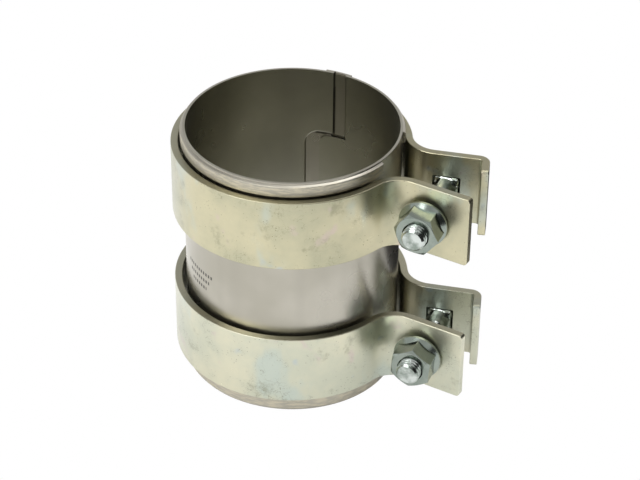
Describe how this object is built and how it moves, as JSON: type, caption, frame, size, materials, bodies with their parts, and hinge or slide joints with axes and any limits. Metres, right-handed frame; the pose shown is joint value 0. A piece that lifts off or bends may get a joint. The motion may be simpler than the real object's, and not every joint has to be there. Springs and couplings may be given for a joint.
{
  "type": "pipe repair clamp",
  "caption": "Rolled sheet pipe sleeve with crossed seam, squeezed onto two pipe ends by bolted band clamps with splayed ears, neck bolts and flange nuts.",
  "frame": {"origin": "on the sleeve's axis, in the plane of its lower rim", "axes": "+Z along the sleeve's axis, +X towards the clamps' ears, -Y towards the nuts"},
  "size_m": [0.1054, 0.079, 0.09],
  "materials": {
    "sleeve_stainless": "satin rolled stainless sheet",
    "upper_band_zinc": "zinc plated with straw coloured passivation",
    "lower_band_zinc": "zinc plated with pale straw coloured passivation",
    "bolt_zinc": "bright bluish zinc plating",
    "nut_zinc": "bright bluish zinc plating"
  },
  "bodies": {
    "sleeve": {"sleeve": "sleeve_stainless"},
    "upper_clamp": {"upper_band": "upper_band_zinc"},
    "lower_clamp": {"lower_band": "lower_band_zinc"},
    "upper_nut": {"upper_flange_nut": "nut_zinc"},
    "lower_nut": {"lower_flange_nut": "nut_zinc"},
    "upper_bolt": {"upper_bolt": "bolt_zinc"},
    "lower_bolt": {"lower_bolt": "bolt_zinc"}
  },
  "joints": [
    {"name": "upper_clamp_swivel", "type": "hinge", "parent": "sleeve", "child": "upper_clamp", "pos_m": [0, 0, 0.0722], "axis": [0, 0, 1], "continuous": true},
    {"name": "lower_clamp_swivel", "type": "hinge", "parent": "sleeve", "child": "lower_clamp", "pos_m": [0, 0, 0.019], "axis": [0, 0, 1], "continuous": true},
    {"name": "upper_nut_spin", "type": "hinge", "parent": "upper_clamp", "child": "upper_nut", "pos_m": [0.0502, -0.017, 0.0722], "axis": [0, -1, 0], "range_deg": [0, 2880]},
    {"name": "lower_nut_spin", "type": "hinge", "parent": "lower_clamp", "child": "lower_nut", "pos_m": [0.0502, -0.017, 0.019], "axis": [0, -1, 0], "range_deg": [0, 2880]},
    {"name": "upper_bolt_slide", "type": "slide", "parent": "upper_clamp", "child": "upper_bolt", "axis": [0, 1, 0], "range_m": [0, 0.0101]},
    {"name": "lower_bolt_slide", "type": "slide", "parent": "lower_clamp", "child": "lower_bolt", "axis": [0, 1, 0], "range_m": [0, 0.0101]}
  ],
  "couplings": [
    {"joint": "upper_bolt_slide", "follows": "upper_nut_spin", "m_per_rad": 0.00019894},
    {"joint": "lower_bolt_slide", "follows": "lower_nut_spin", "m_per_rad": 0.00019894}
  ]
}
